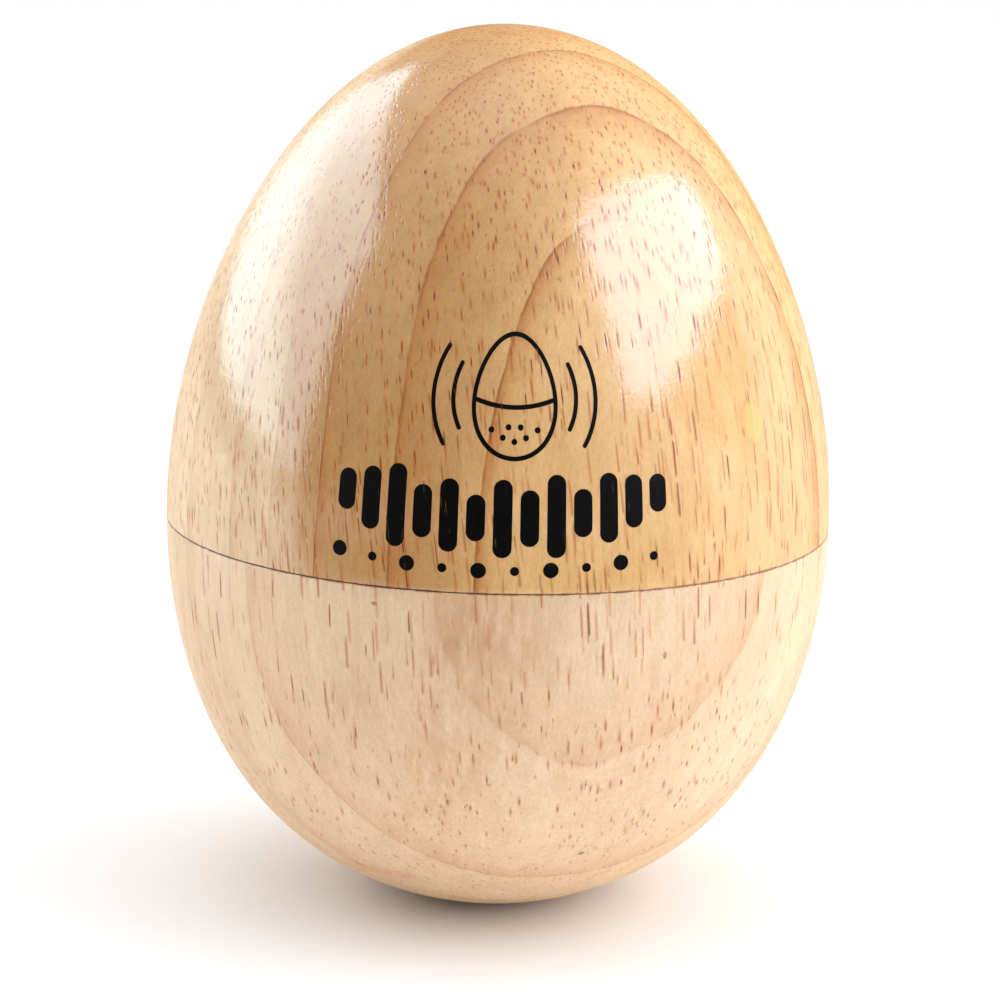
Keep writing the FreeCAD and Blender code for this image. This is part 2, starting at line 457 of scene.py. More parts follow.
def print_icon(ink):
    """A line drawing of an egg with a seam and its shot, and two curved strokes each side of it."""
    s, z = ICON_MIDDLE
    outline = []
    for angle in np.linspace(0.0, 2.0 * math.pi, 64, endpoint=False):
        up = math.sin(angle)
        width = ICON_SIZE[0] * (1.0 - ICON_TAPER * up)
        outline.append((s + width * math.cos(angle), z + ICON_SIZE[1] * up))
    ink.stroke(outline, LINE_WIDTH, closed=True)
    seam = [(s + ICON_SEAM * t, z - ICON_SEAM_DROP - ICON_SEAM_SAG * (1.0 - t * t))
            for t in np.linspace(-1.0, 1.0, 16)]
    ink.stroke(seam, LINE_WIDTH)
    for x, height in ICON_SHOT:
        ink.dot(s + x, z + height, ICON_SHOT_RADIUS)
    for side in (-1.0, 1.0):
        for reach, spread in SOUND_STROKES:
            arc = [(s + side * reach * math.cos(a), z + reach * math.sin(a))
                   for a in np.radians(np.linspace(-spread, spread, 16))]
            ink.stroke(arc, LINE_WIDTH)


def print_film():
    ink = Ink()
    print_bars(ink)
    print_dots(ink)
    print_icon(ink)
    item = make_object("front_print", ink.points, ink.faces)
    item.data.set_sharp_from_angle(angle=math.radians(SHARP_ANGLE_DEG))
    return item


# ---------------------------------------------------------------- materials

class Graph:
    """Shorthand for building a material's or a world's nodes. Every input takes a number, a colour or
    a socket."""

    def __init__(self, owner):
        owner.use_nodes = True
        self.owner = owner
        self.tree = owner.node_tree
        self.tree.nodes.clear()

    def node(self, kind, inputs=(), **settings):
        made = self.tree.nodes.new(kind)
        for key, value in settings.items():
            setattr(made, key, value)
        for key, value in dict(inputs).items():
            self.feed(made.inputs[key], value)
        return made

    def feed(self, socket, value):
        if isinstance(value, bpy.types.NodeSocket):
            self.tree.links.new(value, socket)
        else:
            socket.default_value = value

    def math(self, operation, *values):
        return self.node("ShaderNodeMath", enumerate(values), operation=operation).outputs[0]

    def add(self, a, b):
        return self.math("ADD", a, b)

    def sub(self, a, b):
        return self.math("SUBTRACT", a, b)

    def mul(self, a, b):
        return self.math("MULTIPLY", a, b)

    def muladd(self, a, b, c):
        return self.math("MULTIPLY_ADD", a, b, c)

    def vmath(self, operation, *values):
        made = self.node("ShaderNodeVectorMath", enumerate(values), operation=operation)
        return made.outputs["Value" if operation in ("LENGTH", "DISTANCE") else "Vector"]

    def between(self, value, low, high):
        """0 below low, 1 above high and a smooth rise between; low may be the higher."""
        made = self.node("ShaderNodeMapRange", {"Value": value, "From Min": low, "From Max": high},
                         interpolation_type="SMOOTHSTEP")
        return made.outputs["Result"]

    def mix(self, share, a, b, blend="MIX"):
        made = self.node("ShaderNodeMix", {0: share, 6: a, 7: b}, data_type="RGBA", blend_type=blend)
        return made.outputs[2]

    def stretch(self, vector, sizes):
        """vector measured in units of sizes, a size for each axis."""
        return self.vmath("MULTIPLY", vector, tuple(1.0 / size for size in sizes))

    def noise(self, vector, sizes, detail=2.0, roughness=0.5, offset=0.0):
        """Noise about 0.5, whose features have these sizes along the axes."""
        placed = self.vmath("ADD", self.stretch(vector, sizes), (offset, offset * 0.7, offset * 1.3))
        return self.node("ShaderNodeTexNoise",
                         {"Vector": placed, "Scale": 1.0, "Detail": detail, "Roughness": roughness})

    def millimetres(self):
        """The place on the part, in millimetres."""
        place = self.node("ShaderNodeTexCoord").outputs["Object"]
        return self.vmath("MULTIPLY", place, (1.0 / MM, 1.0 / MM, 1.0 / MM))

    def bump(self, height_mm):
        made = self.node("ShaderNodeBump", {"Height": height_mm, "Strength": 1.0, "Distance": MM})
        return made.outputs["Normal"]

    def finish(self, **inputs):
        """The shader and the output. Keys are the shader's socket names with _ for spaces."""
        values = {key.replace("_", " "): value for key, value in inputs.items()}
        shader = self.node("ShaderNodeBsdfPrincipled", values)
        self.node("ShaderNodeOutputMaterial", {"Surface": shader.outputs[0]})
        return self.owner


def new_material(name):
    """The empty graph of a new material."""
    return Graph(bpy.data.materials.new(name))


PITH_HEIGHT = 38.0         # at which each wood's pith is given
WOODS = {
    "upper": {
        "pith": (19.4, -39.5),            # x and y of the tree's centre, at PITH_HEIGHT
        "lean": (-0.009, -0.027),         # its sideways shift for each millimetre up
        "outward": -1.0,                  # -1 if ring numbers grow towards the pith, 1 if away from it
        "first_ring": 23.6,               # distance of one ring's edge from the pith
        "ring_pitch": 5.6,
        "uneven": 1.1,                    # how far rings are shifted from even spacing
        "last_number": 0.6,               # rings past this number don't show
        "fades_past": (37.5, 42.0),       # rings between these distances fade to a faint share
        "hides_between": (4.0, 7.5),      # the innermost ring dies away between these x
        "late_share": 0.8,                # strength of the dark part of a ring
        "line_share": 0.6,                # strength of the thin line at its edge
        "grain_lean": (-0.13, 0.04),      # the vessels' sideways shift for each millimetre up
        "crowding": 0.97,                 # the higher, the fewer vessels: 0.3 for most, 1.7 for none
        "pore_radius": (0.034, 0.094),
        "pores_fade_at": (-8.0, -9.0),    # heights over which vessels fade to half their strength
        "gathered": ((-17.6, -22.7, 36.0), (6.5, 6.5, 3.6)),    # middle and sizes of a spot with more
        "halo_share": 0.4,                # how strongly vessels stain the wood round them
        "base": srgb(207, 158, 101),
        "inner": srgb(235, 189, 129),     # within the innermost ring; towards +X it is painted light, where the right lights fall
        "inner_from": (-3.0, 10.0),       # x over which it takes over, as a painted lighter side
        "sapwood": srgb(236, 203, 159),   # paler timber, further from the pith
        "sapwood_from": (36.2, 40.6),     # distances over which it takes over
        "sapwood_rise": 0.22,             # how much further out that is for each millimetre up
        "late": srgb(190, 118, 52),
        "line": srgb(146, 74, 26),
        "offset": 3.0,                    # where in the noise this half's patterns are taken from
    },
    "lower": {
        "pith": (-12.8, 37.4),
        "lean": (0.0, 0.0),
        "outward": 1.0,
        "first_ring": 58.3,
        "ring_pitch": 7.2,
        "uneven": 0.4,
        "last_number": 9.0,
        "fades_past": (90.0, 95.0),
        "hides_between": (90.0, 95.0),
        "late_share": 0.42,
        "line_share": 0.12,
        "grain_lean": (-0.07, -0.03),
        "crowding": 1.27,
        "pore_radius": (0.028, 0.092),
        "pores_fade_at": (17.0, 5.0),
        "gathered": ((1.0, -28.0, 28.0), (7.0, 6.0, 6.0)),
        "halo_share": 0.42,
        "base": srgb(237, 203, 163),
        "inner": srgb(237, 203, 163),
        "inner_from": (90.0, 95.0),
        "sapwood": srgb(243, 214, 178),
        "sapwood_from": (66.0, 72.0),
        "sapwood_rise": 0.0,
        "late": srgb(210, 150, 98),
        "line": srgb(176, 122, 80),
        "offset": 11.0,
    },
}
RING_WAVE = 1.6            # how far a ring wanders in and out over long stretches, and over short ones
RING_JITTER = 0.28
BUNCH_SPAN = 24.0          # distance from the pith over which rings crowd and spread once
LINE_WIDTHS = (0.22, 0.02)    # from a ring's edge, where its line begins to show, and is full
CELL_PITCH = 0.36          # of the faint rows of cells inside a ring
PORE_CELLS = 2.1           # vessels' cells per millimetre, in each of two layers
LAYER_SHIFT = (17.3, 5.9)  # between those layers
GRAIN_BOW = 0.005          # how much more the vessels lean back for each millimetre from the seam
PORE_WANDER = 0.55         # how far vessels wander sideways
PORE_SPAN = 3.2            # length of the stretches over which a column of wood is a vessel or not
PORE_DEPTH = 0.014
DIMPLE_REACH = 0.18        # of the varnish's sag round a vessel
DIMPLE_DEPTH = 0.010
VARNISH_GRAIN = 0.013      # height of the fine unevenness in the varnish
PORE_DARK = srgb(84, 20, 0)
PORE_LIGHT = srgb(158, 62, 10)
PORE_HALO = srgb(200, 112, 42)
STREAK = srgb(164, 84, 38)
SEAM_DIRT = srgb(126, 60, 26)
SEAM_DIRT_WIDTHS = (0.18, 0.05)    # from the seam, where it begins to show, and is full
SEAM_DIRT_SHARE = 0.65
DUST = srgb(205, 186, 158)
GLOSS_FALLS_AT = (0.45, 0.8)    # how far the varnish faces away, from 0 to 1, as its gloss falls
GLOSS_LOST = 0.85          # share of it lost at the rim, which would otherwise mirror the studio's walls

# Blemishes, each with its middle and sizes
KNOT = ((20.4, -18.3, 45.8), (1.5, 1.5, 2.0))
KNOT_RIM = ((20.4, -18.3, 45.8), (1.9, 1.9, 2.4))
TIP_BLEMISH = ((6.7, -20.9, 60.3), (0.35, 0.35, 0.5))
LOWER_PATCHES = (
    # middle, sizes, share, colour
    ((-1.0, -28.0, 30.4), (7.4, 4.0, 5.0), 0.52, srgb(192, 128, 72)),
    ((-3.4, -27.0, 19.0), (6.0, 7.0, 13.0), 0.36, srgb(206, 150, 98)),
    ((-9.0, -15.5, 6.0), (5.5, 5.0, 1.1), 0.4, srgb(214, 140, 100)),
    ((-11.0, -25.0, 24.0), (2.4, 4.0, 6.5), 0.25, srgb(206, 150, 104)),
)
LOWER_FLECKS = (
    ((-9.55, -27.14, 32.2), (0.35, 0.35, 0.22)),
    ((13.6, -25.0, 28.0), (0.22, 0.22, 0.45)),
    ((7.6, -19.9, 9.5), (0.4, 0.4, 0.3)),
)


def ring_pattern(g, place, wood):
    """(distance from the pith, ring number with the share of the way through that ring)."""
    x, y, z = g.node("ShaderNodeSeparateXYZ", {0: place}).outputs
    rise = g.sub(z, PITH_HEIGHT)
    across = g.sub(x, g.muladd(rise, wood["lean"][0], wood["pith"][0]))
    deep = g.sub(y, g.muladd(rise, wood["lean"][1], wood["pith"][1]))
    flat = g.node("ShaderNodeCombineXYZ", {0: across, 1: deep, 2: 0.0}).outputs[0]
    distance = g.vmath("LENGTH", flat)
    wave = g.noise(place, (13.0, 13.0, 30.0), detail=1.0, offset=wood["offset"]).outputs[0]
    jitter = g.noise(place, (1.3, 1.3, 7.0), detail=2.0, offset=wood["offset"] + 1.0).outputs[0]
    distance = g.muladd(g.sub(wave, 0.5), RING_WAVE, distance)
    distance = g.muladd(g.sub(jitter, 0.5), RING_JITTER, distance)
    turn = g.math("COSINE", g.mul(g.sub(distance, wood["first_ring"]), 2.0 * math.pi / BUNCH_SPAN))
    even = g.add(distance, g.muladd(turn, wood["uneven"], -wood["uneven"]))
    number = g.mul(g.sub(even, wood["first_ring"]), wood["outward"] / wood["ring_pitch"])
    return distance, number


def grain_place(g, place, wood):
    """The place slid along the grain to the seam's height, so that a vessel has one x and y."""
    x, y, z = g.node("ShaderNodeSeparateXYZ", {0: place}).outputs
    rise = g.sub(z, SEAM_HEIGHT)
    lean_x, lean_y = wood["grain_lean"]
    leaned = g.node("ShaderNodeCombineXYZ", {
        0: g.sub(x, g.mul(rise, lean_x)),
        1: g.sub(y, g.mul(rise, g.muladd(rise, GRAIN_BOW, lean_y))), 2: 0.0}).outputs[0]
    drift = g.noise(place, (9.0, 9.0, 12.0), detail=2.0, offset=wood["offset"] + 5.0).outputs["Color"]
    drift = g.vmath("MULTIPLY", g.vmath("SUBTRACT", drift, (0.5, 0.5, 0.5)),
                    (PORE_WANDER, PORE_WANDER, 0.0))
    return g.vmath("ADD", leaned, drift)


def vessel_layer(g, moved, height, crowd, wood):
    """(opening, stain, dimple, random number) of one layer of vessels. Each Voronoi cell holds a column,
    which is a vessel over some stretches of its length and solid wood over others."""
    cell = g.node("ShaderNodeTexVoronoi", {"Vector": moved, "Scale": PORE_CELLS},
                  voronoi_dimensions="2D")
    away = g.math("DIVIDE", cell.outputs["Distance"], PORE_CELLS)
    traits = g.node("ShaderNodeSeparateColor", {0: cell.outputs["Color"]}).outputs
    stretch = g.muladd(height, 1.0 / PORE_SPAN, g.mul(traits[0], 37.0))
    marks = g.node("ShaderNodeTexWhiteNoise",
                   {"Vector": cell.outputs["Color"], "W": g.math("FLOOR", stretch)},
                   noise_dimensions="4D").outputs["Value"]
    inside = g.math("FRACT", stretch)
    ends = g.mul(g.between(inside, 0.02, 0.14), g.between(inside, 0.98, 0.86))
    met = g.between(g.muladd(crowd, 0.7, marks), wood["crowding"] - 0.15, wood["crowding"] - 0.09)
    smallest, largest = wood["pore_radius"]
    size = g.mul(g.muladd(traits[1], largest - smallest, smallest), met)
    radius = g.mul(size, ends)
    opening = g.between(away, g.add(radius, 0.015), g.mul(radius, 0.6))
    strength = g.muladd(g.mul(traits[2], traits[2]), 0.7, 0.3)
    opening = g.mul(g.mul(opening, g.between(radius, 0.008, 0.03)), strength)
    stain = g.between(away, g.muladd(size, 2.2, 0.05), size)
    faint = g.mul(g.between(inside, 0.0, 0.1), g.between(inside, 1.0, 0.6))
    stain = g.mul(g.mul(stain, g.between(size, 0.01, 0.05)), faint)
    dimple = g.mul(g.mul(g.between(away, DIMPLE_REACH, 0.0), met), ends)
    return opening, stain, dimple, traits[0]


def vessels(g, place, wood):
    """(how open the surface is into a vessel, how stained it is round one, how dark the vessel is,
    how far varnish would sink in over it)."""
    height = g.node("ShaderNodeSeparateXYZ", {0: place}).outputs[2]
    along_grain = grain_place(g, place, wood)
    crowd = g.noise(place, (3.0, 3.0, 9.0), detail=2.0, offset=wood["offset"] + 6.0).outputs[0]
    crowd = g.muladd(spot(g, place, *wood["gathered"], 0.8), 0.3, crowd)
    opening, halo, dark, dimple = 0.0, 0.0, 0.0, 0.0
    for layer in range(2):
        moved = g.vmath("ADD", along_grain, (LAYER_SHIFT[0] * layer, LAYER_SHIFT[1] * layer, 0.0))
        hole, stain, sag, trait = vessel_layer(g, moved, height, crowd, wood)
        opening = g.math("MAXIMUM", opening, hole)
        halo = g.math("MAXIMUM", halo, stain)
        dark = g.muladd(trait, 0.5, dark)
        dimple = g.math("MAXIMUM", dimple, sag)
    strength = g.muladd(g.between(height, *wood["pores_fade_at"]), -0.5, 1.0)
    return g.mul(opening, strength), g.mul(halo, strength), dark, dimple


def spot(g, place, middle, sizes, soft=0.5):
    """1 in an oval about middle, 0 outside it."""
    away = g.vmath("LENGTH", g.stretch(g.vmath("SUBTRACT", place, middle), sizes))
    return g.between(away, 1.0, 1.0 - soft)


def growth_rings(g, place, wood):
    """(colour of the timber and its rings, painted lighter towards +X where the right lights fall, distance
    from the pith, a random number for each ring).
    """
    x, _, z = g.node("ShaderNodeSeparateXYZ", {0: place}).outputs
    distance, number = ring_pattern(g, place, wood)
    through = g.math("FRACT", number)
    year = g.node("ShaderNodeTexWhiteNoise", {"W": g.math("FLOOR", number)},
                  noise_dimensions="1D").outputs["Value"]
    late = g.math("POWER", g.sub(1.0, through), 5.0)
    late = g.mul(late, g.muladd(year, 0.4, wood["late_share"] - 0.2))
    edge = g.mul(g.math("MINIMUM", through, g.mul(g.sub(1.0, through), 2.5)), wood["ring_pitch"])
    line = g.mul(g.between(edge, *LINE_WIDTHS), wood["line_share"])
    shown = g.between(number, wood["last_number"], wood["last_number"] - 0.25)
    shown = g.mul(shown, g.muladd(g.between(distance, *wood["fades_past"]), -0.72, 1.0))
    hidden = g.mul(g.between(x, *wood["hides_between"]), g.between(number, -0.75, -0.3))
    shown = g.mul(shown, g.muladd(hidden, -0.9, 1.0))
    broken = g.noise(place, (2.2, 2.2, 5.0), detail=2.0, offset=wood["offset"] + 15.0).outputs[0]
    late = g.mul(late, g.mul(shown, g.muladd(broken, 1.2, 0.4)))
    line = g.mul(line, g.mul(shown, g.between(broken, 0.3, 0.62)))
    # Paler within the innermost ring, which is the wood's own tone, and paler towards +X, which is painted
    # light from the right
    inner = g.math("MAXIMUM", g.between(number, -0.5, 0.35), g.between(x, *wood["inner_from"]))
    colour = g.mix(inner, wood["base"], wood["inner"])
    outward = g.muladd(g.sub(z, SEAM_HEIGHT), -wood["sapwood_rise"], distance)
    colour = g.mix(g.between(outward, *wood["sapwood_from"]), colour, wood["sapwood"])
    colour = g.mix(late, colour, wood["late"])
    return g.mix(line, colour, wood["line"]), distance, year


def shaded(g, colour, red, green, blue):
    """colour times the three shades."""
    tint = g.node("ShaderNodeCombineColor", {0: red, 1: green, 2: blue}).outputs[0]
    return g.mix(1.0, colour, tint, "MULTIPLY")


def wood_colour(g, place, wood):
    """(colour, surface height in mm, how far the varnish sinks in over the pores)."""
    colour, distance, year = growth_rings(g, place, wood)

    # Blotches, fibres, streaks and mottling, which redden the wood as they darken it
    blotch = g.noise(place, (8.0, 8.0, 22.0), detail=3.0, offset=wood["offset"] + 7.0).outputs[0]
    fibre = g.noise(place, (0.24, 0.24, 5.0), detail=2.0, offset=wood["offset"] + 9.0).outputs[0]
    streak = g.noise(place, (1.1, 1.1, 16.0), detail=2.0, offset=wood["offset"] + 13.0).outputs[0]
    mottle = g.noise(place, (1.6, 1.6, 3.4), detail=4.0, roughness=0.65, offset=wood["offset"] + 19.0)
    cells = g.math("SINE", g.muladd(distance, 2.0 * math.pi / CELL_PITCH, g.mul(fibre, 6.0)))
    shade = g.muladd(cells, 0.014, 1.0)
    for noise, amount in ((blotch, 0.34), (fibre, 0.20), (streak, 0.22), (mottle.outputs[0], 0.32),
                          (year, 0.06)):
        shade = g.muladd(g.sub(noise, 0.5), amount, shade)
    colour = shaded(g, colour, g.math("POWER", shade, 0.7), shade, g.math("POWER", shade, 1.5))

    # Fine grain, and a few dark streaks
    grain = g.noise(place, (0.17, 0.17, 0.42), detail=3.0, roughness=0.7, offset=wood["offset"] + 23.0)
    shade = g.muladd(g.sub(grain.outputs[0], 0.5), 0.44, 1.0)
    colour = shaded(g, colour, shade, shade, shade)
    dark_streak = g.noise(place, (0.42, 0.42, 7.0), detail=2.0, offset=wood["offset"] + 27.0).outputs[0]
    colour = g.mix(g.mul(g.between(dark_streak, 0.66, 0.76), 0.45), colour, STREAK)

    opening, halo, dark, dimple = vessels(g, place, wood)
    colour = g.mix(g.mul(halo, wood["halo_share"]), colour, PORE_HALO)
    strength = g.muladd(g.between(streak, 0.42, 0.6), 0.2, 0.8)
    colour = g.mix(g.mul(opening, strength), colour, g.mix(dark, PORE_DARK, PORE_LIGHT))
    height = g.muladd(fibre, 0.0022, g.mul(opening, -PORE_DEPTH))
    return colour, height, dimple


def varnished_wood(name, key, marks):
    """Wood under a clear gloss coat that hasn't filled the pores. marks adds the half's own blemishes."""
    g = new_material(name)
    place = g.millimetres()
    colour, height, dimple = wood_colour(g, place, WOODS[key])
    colour = marks(g, place, colour)
    z = g.node("ShaderNodeSeparateXYZ", {0: place}).outputs[2]
    off_seam = g.math("ABSOLUTE", g.sub(z, SEAM_HEIGHT))
    dirt = g.noise(place, (0.7, 0.7, 0.7), detail=3.0, offset=21.0).outputs[0]
    dirt = g.mul(g.between(off_seam, *SEAM_DIRT_WIDTHS), g.between(dirt, 0.36, 0.56))
    colour = g.mix(g.mul(dirt, SEAM_DIRT_SHARE), colour, SEAM_DIRT)
    wear = g.noise(place, (3.0, 3.0, 3.0), detail=4.0, offset=17.0).outputs[0]
    grain = g.noise(place, (0.3, 0.3, 0.3), detail=2.0, offset=31.0).outputs[0]
    coat_height = g.muladd(dimple, -DIMPLE_DEPTH, g.mul(height, 0.5))
    coat_height = g.muladd(g.sub(grain, 0.5), VARNISH_GRAIN, coat_height)
    facing = g.node("ShaderNodeLayerWeight", {"Blend": 0.5}).outputs["Facing"]
    gloss = g.muladd(g.between(facing, *GLOSS_FALLS_AT), -GLOSS_LOST, 1.0)
    return g.finish(
        Base_Color=colour, Roughness=g.muladd(wear, 0.2, 0.38), Normal=g.bump(height),
        Specular_IOR_Level=0.08, Coat_Weight=gloss, Coat_Roughness=0.12, Coat_IOR=1.5,
        Coat_Normal=g.bump(coat_height),
    )


def upper_marks(g, place, colour):
    """A pale oval knot on the right, with a browner rim, and a small blemish near the tip."""
    colour = g.mix(g.mul(spot(g, place, *KNOT_RIM, 0.5), 0.4), colour, srgb(206, 146, 74))
    colour = g.mix(g.mul(spot(g, place, *KNOT, 0.35), 0.6), colour, srgb(240, 206, 128))
    blemish = spot(g, place, *TIP_BLEMISH, 0.6)
    return g.mix(g.mul(blemish, 0.35), colour, srgb(138, 84, 46))


def lower_marks(g, place, colour):
    """Ragged browner and pinker patches, and a few dark flecks."""
    ragged = g.noise(place, (0.8, 0.8, 3.6), detail=2.0, offset=51.0).outputs[0]
    ragged = g.between(ragged, 0.3, 0.6)
    for middle, sizes, share, tone in LOWER_PATCHES:
        patch = g.mul(spot(g, place, middle, sizes, 0.9), ragged)
        colour = g.mix(g.mul(patch, share), colour, tone)
    for middle, sizes in LOWER_FLECKS:
        fleck = spot(g, place, middle, sizes, 0.6)
        colour = g.mix(g.mul(fleck, 0.7), colour, srgb(136, 84, 50))
    return colour


def bare_wood(name, key):
    """The turned inside, never varnished: the same timber, rougher and a little greyer."""
    g = new_material(name)
    place = g.millimetres()
    colour, height, _ = wood_colour(g, place, WOODS[key])
    dust = g.noise(place, (2.0, 2.0, 2.0), detail=4.0, offset=41.0).outputs[0]
    colour = g.mix(g.muladd(dust, 0.3, 0.05), colour, DUST)
    z = g.node("ShaderNodeSeparateXYZ", {0: place}).outputs[2]
    rings = g.math("SINE", g.muladd(z, 2.0 * math.pi / 0.8, g.mul(dust, 1.5)))
    return g.finish(
        Base_Color=colour, Roughness=g.muladd(dust, 0.2, 0.68), Specular_IOR_Level=0.3,
        Normal=g.bump(g.muladd(rings, 0.012, height)),
    )


def glue_material():
    """Cured glue: dark brown, paler towards one side, with specks of sanding dust."""
    g = new_material("wood_glue")
    place = g.millimetres()
    x = g.node("ShaderNodeSeparateXYZ", {0: place}).outputs[0]
    cloud = g.noise(place, (2.2, 2.2, 0.6), detail=4.0).outputs[0]
    speck = g.noise(place, (0.35, 0.35, 0.2), detail=2.0, offset=5.0).outputs[0]
    side = g.between(g.muladd(cloud, 14.0, x), -4.0, 26.0)
    colour = g.mix(side, srgb(74, 38, 20), srgb(170, 118, 76))
    colour = g.mix(g.between(speck, 0.6, 0.7), colour, srgb(46, 30, 22))
    return g.finish(
        Base_Color=colour, Roughness=g.muladd(cloud, 0.3, 0.3), Specular_IOR_Level=0.4,
        Normal=g.bump(g.mul(cloud, 0.02)),
    )


def steel_material():
    """Tumbled steel shot: bright, with fine scuffs and a few duller patches."""
    g = new_material("steel_shot")
    place = g.millimetres()
    patch = g.noise(place, (1.2, 1.2, 1.2), detail=4.0).outputs[0]
    scuff = g.noise(place, (0.5, 0.06, 0.5), detail=3.0, offset=3.0).outputs[0]
    dull = g.between(patch, 0.45, 0.65)
    colour = g.mix(dull, srgb(196, 197, 200), srgb(150, 148, 146))
    rough = g.muladd(scuff, 0.18, g.muladd(dull, 0.2, 0.12))
    return g.finish(
        Base_Color=colour, Metallic=1.0, Roughness=rough,
        Normal=g.bump(g.mul(g.between(scuff, 0.55, 0.75), -0.004)),
    )


def ink_material():
    """Black pad-printed ink, less glossy than the varnish, with pinholes where it missed the pores."""
    g = new_material("print_ink")
    place = g.millimetres()
    grain = g.noise(place, (0.2, 0.2, 1.6), detail=3.0, offset=2.0).outputs[0]
    cloud = g.noise(place, (1.5, 1.5, 1.5), detail=2.0, offset=8.0).outputs[0]
    opening = vessels(g, place, WOODS["upper"])[0]
    missed = g.mul(opening, g.between(grain, 0.5, 0.66))
    colour = g.mix(cloud, srgb(2, 1, 1), srgb(8, 6, 5))
    colour = g.mix(g.mul(missed, 0.8), colour, srgb(120, 78, 46))
    normal = g.bump(g.muladd(grain, 0.003, g.mul(opening, -0.012)))
    return g.finish(
        Base_Color=colour, Roughness=g.muladd(grain, 0.2, 0.4), Specular_IOR_Level=0.08,
        Normal=normal,
    )


FLOOR_SHADE = 0.935
FLOOR_TINT = (1.0, 1.012, 1.035)


def floor_material():
    """Pale matt floor, faintly clouded and a touch cool."""
    g = new_material("studio_floor")
    place = g.millimetres()
    cloud = g.noise(place, (220.0, 220.0, 220.0), detail=2.0).outputs[0]
    shade = g.muladd(cloud, 0.01, FLOOR_SHADE)
    red, green, blue = (g.mul(shade, tint) for tint in FLOOR_TINT)
    colour = g.node("ShaderNodeCombineColor", {0: red, 1: green, 2: blue}).outputs[0]
    return g.finish(Base_Color=colour, Roughness=0.9, Specular_IOR_Level=0.1)


# ---------------------------------------------------------------- studio

WORLD_RISE = 0.96          # brightness of the studio overhead, falling to nothing at the horizon
WORLD_TOP = 1.4            # more of it, from straight overhead
WORLD_RIGHT = 1.8          # brightness of the wall on the right
BACKDROP = 1.0             # what the camera sees past the floor
FLOOR_RADIUS = 9000.0
CARDS = {
    # The varnish mirrors them. brightness is at the card's foot, and "top" is how many times that it
    # has at the top. The corner at +x and -y is cut off where x - y, in half sizes, passes "corner".
    "left_card": {
        "middle": (-456.5, 226.0, 370.0), "width": 1008.0, "height": 586.0,
        "facing": (0.966, -0.2588, 0.0), "turn": 4.5,
        "brightness": 5.4, "top": 1.35, "corner": 3.0, "colour": (0.68, 0.87, 1.0),
    },
    "right_card": {
        "middle": (427.0, -131.0, 304.0), "width": 590.0, "height": 400.0,
        "facing": (0.826, 0.02, 0.5635), "turn": -28.9,
        "brightness": 9.6, "top": 1.0, "corner": 0.57, "colour": (0.62, 0.71, 1.0),
    },
}
SOFT_EDGE = 0.10           # share of a card's half width over which it fades
SOFTBOXES = {
    # place in metres, width and height, energy
    "right_softbox": ((0.64, -0.05, 0.4), 0.7, 2.1),
    "left_softbox": ((-0.64, -0.05, 0.4), 0.7, 0.9),
    "rear_left_softbox": ((-0.6, 0.35, 0.3), 0.5, 1.3),
}
SOFTBOX_AIM = (0.0, 0.0, 0.04)
BLACK_CARD = (-260.0, 260.0, -800.0, -120.0)    # x and y range of the card on the floor in front


def card_material(name, card):
    """A card's own light, fading towards its edges."""
    g = new_material(name)
    x, y, _ = g.node("ShaderNodeSeparateXYZ", {0: g.millimetres()}).outputs
    u = g.math("DIVIDE", x, card["width"] / 2.0)
    v = g.math("DIVIDE", y, card["height"] / 2.0)
    foot = card["brightness"]
    share = g.muladd(g.between(v, -0.5, 1.0), foot * (card["top"] - 1.0), foot)
    for position in (u, v):
        share = g.mul(share, g.between(g.math("ABSOLUTE", position), 1.0, 1.0 - SOFT_EDGE))
    cut = g.between(g.sub(u, v), card["corner"] + SOFT_EDGE, card["corner"] - SOFT_EDGE)
    light = g.node("ShaderNodeEmission", {"Color": (*card["colour"], 1.0), "Strength": g.mul(share, cut)})
    g.node("ShaderNodeOutputMaterial", {"Surface": light.outputs[0]})
    return g.owner


def card_panel(name, card):
    """A flat panel that the camera doesn't see, and that lights nothing but the reflections."""
    w, h = card["width"] / 2.0, card["height"] / 2.0
    item = make_object(name, [(-w, -h, 0), (w, -h, 0), (w, h, 0), (-w, h, 0)], [(0, 1, 2, 3)], False)
    out = Vector(card["facing"]).normalized()
    side = Vector((0.0, 0.0, 1.0)).cross(out).normalized()
    up = out.cross(side)
    turn = Matrix.Rotation(math.radians(card["turn"]), 3, "Z")
    basis = Matrix((side, up, out)).transposed() @ turn
    item.matrix_world = Matrix.Translation(Vector(card["middle"]) * MM) @ basis.to_4x4()
    item.data.materials.append(card_material(name, card))
    item.visible_camera = False
    item.visible_shadow = False
    item.visible_diffuse = False


def studio_world():
    """Soft light from overhead and from a wall on the right, in front of a white backdrop."""
    world = bpy.data.worlds.new("studio")
    bpy.context.scene.world = world
    g = Graph(world)
    direction = g.node("ShaderNodeTexCoord").outputs["Generated"]
    x, _, z = g.node("ShaderNodeSeparateXYZ", {0: direction}).outputs
    x, z = g.math("MAXIMUM", x, 0.0), g.math("MAXIMUM", z, 0.0)
    level = g.muladd(g.math("POWER", z, 12.0), WORLD_TOP, g.mul(z, WORLD_RISE))
    level = g.muladd(g.math("POWER", x, 2.0), WORLD_RIGHT, level)
    seen = g.node("ShaderNodeLightPath").outputs["Is Camera Ray"]
    level = g.muladd(seen, g.sub(BACKDROP, level), level)
    light = g.node("ShaderNodeBackground", {"Color": (1.0, 1.0, 1.0, 1.0), "Strength": level})
    g.node("ShaderNodeOutputWorld", {"Surface": light.outputs[0]})


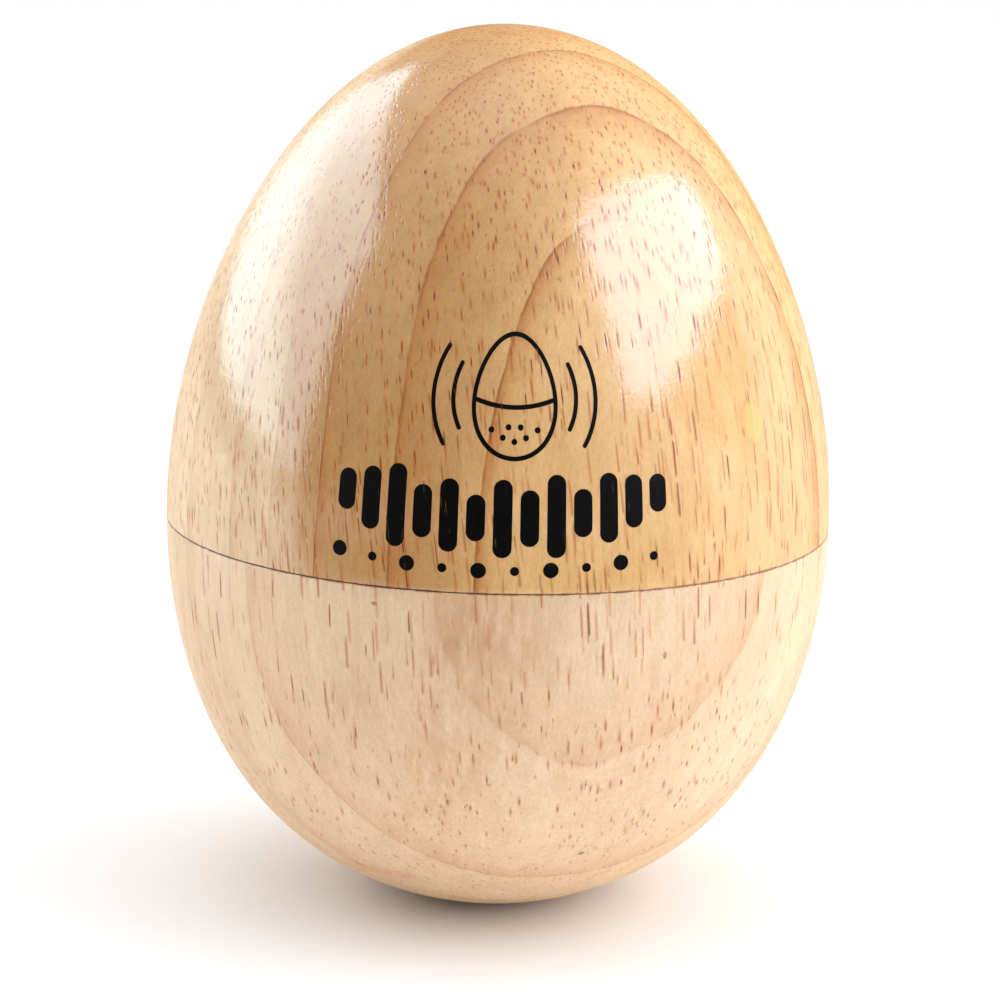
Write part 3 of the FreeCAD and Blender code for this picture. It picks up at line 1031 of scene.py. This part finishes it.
def black_card():
    """A black card lying on the floor in front, out of the camera's sight, that deepens the front."""
    g = new_material("black_card")
    dark = g.node("ShaderNodeBsdfDiffuse", {"Color": (0.01, 0.01, 0.01, 1.0)})
    clear = g.node("ShaderNodeBsdfTransparent")
    under = g.node("ShaderNodeNewGeometry").outputs["Backfacing"]
    both = g.node("ShaderNodeMixShader", {0: under, 1: dark.outputs[0], 2: clear.outputs[0]})
    g.node("ShaderNodeOutputMaterial", {"Surface": both.outputs[0]})
    left, right, near, far = BLACK_CARD
    item = make_object("black_card", [(left, near, 1), (right, near, 1), (right, far, 1), (left, far, 1)],
                       [(0, 1, 2, 3)], False)
    item.data.materials.append(g.owner)
    item.visible_camera = False
    item.visible_shadow = False


def softbox(name, place, size, energy):
    """A soft light aimed at the egg, kept out of the reflections."""
    data = bpy.data.lights.new(name, "AREA")
    data.shape = "SQUARE"
    data.size = size
    data.energy = energy
    light = bpy.data.objects.new(name, data)
    light.location = place
    light.rotation_euler = (Vector(place) - Vector(SOFTBOX_AIM)).to_track_quat("Z", "Y").to_euler()
    light.visible_glossy = False
    bpy.context.scene.collection.objects.link(light)


def studio():
    studio_world()
    rim = [(FLOOR_RADIUS * math.cos(a), FLOOR_RADIUS * math.sin(a), 0.0)
           for a in np.linspace(0.0, 2.0 * math.pi, 96, endpoint=False)]
    floor = make_object("studio_floor", rim, [tuple(range(len(rim)))], False)
    floor.data.materials.append(floor_material())
    for name, card in CARDS.items():
        card_panel(name, card)
    black_card()
    for name, settings in SOFTBOXES.items():
        softbox(name, *settings)


def camera():
    """Looks at the middle of the egg from the front and a little above, tilted slightly."""
    elevation, roll = math.radians(CAMERA_ELEVATION_DEG), math.radians(CAMERA_ROLL_DEG)
    aim = Vector((0.0, 0.0, CAMERA_AIM_HEIGHT)) * MM
    back = Vector((0.0, -math.cos(elevation), math.sin(elevation)))
    side = Vector((1.0, 0.0, 0.0))
    up = back.cross(side)
    right = math.cos(roll) * side + math.sin(roll) * up
    above = math.cos(roll) * up - math.sin(roll) * side
    data = bpy.data.cameras.new("camera")
    data.lens = CAMERA_LENS
    data.sensor_width = 36.0
    data.shift_x, data.shift_y = CAMERA_SHIFT
    data.clip_start, data.clip_end = 0.01, 50.0
    item = bpy.data.objects.new("camera", data)
    turn = Matrix((right, above, back)).transposed().to_4x4()
    item.matrix_world = Matrix.Translation(aim + back * (CAMERA_DISTANCE * MM)) @ turn
    bpy.context.scene.collection.objects.link(item)
    bpy.context.scene.camera = item


# ---------------------------------------------------------------- the part

def shells():
    draw = np.random.default_rng(SEED + 1)
    upper, lower = upper_skin(draw), lower_skin(draw)
    for item, key, marks, node in (
        (upper, "upper", upper_marks, "upper_shell"),
        (lower, "lower", lower_marks, "lower_shell"),
    ):
        item.data.materials.append(varnished_wood(f"{key}_wood_varnished", key, marks))
        item.data.materials.append(bare_wood(f"{key}_wood_bare", key))
        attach(item, "shell")
        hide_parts(node)


def paint_cad(frame):
    """The glue and the shot keep their CAD shapes."""
    glue, steel = glue_material(), steel_material()
    for name, item in frame["nodes"].items():
        if name == "glue_film" or name.startswith("steel_shot_"):
            item.data.materials.clear()
            item.data.materials.append(glue if name == "glue_film" else steel)


def main():
    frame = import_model()
    bpy.context.scene.view_settings.view_transform = "Standard"
    camera()
    shells()
    ink = print_film()
    ink.data.materials.append(ink_material())
    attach(ink, "shell")
    paint_cad(frame)
    studio()


main()
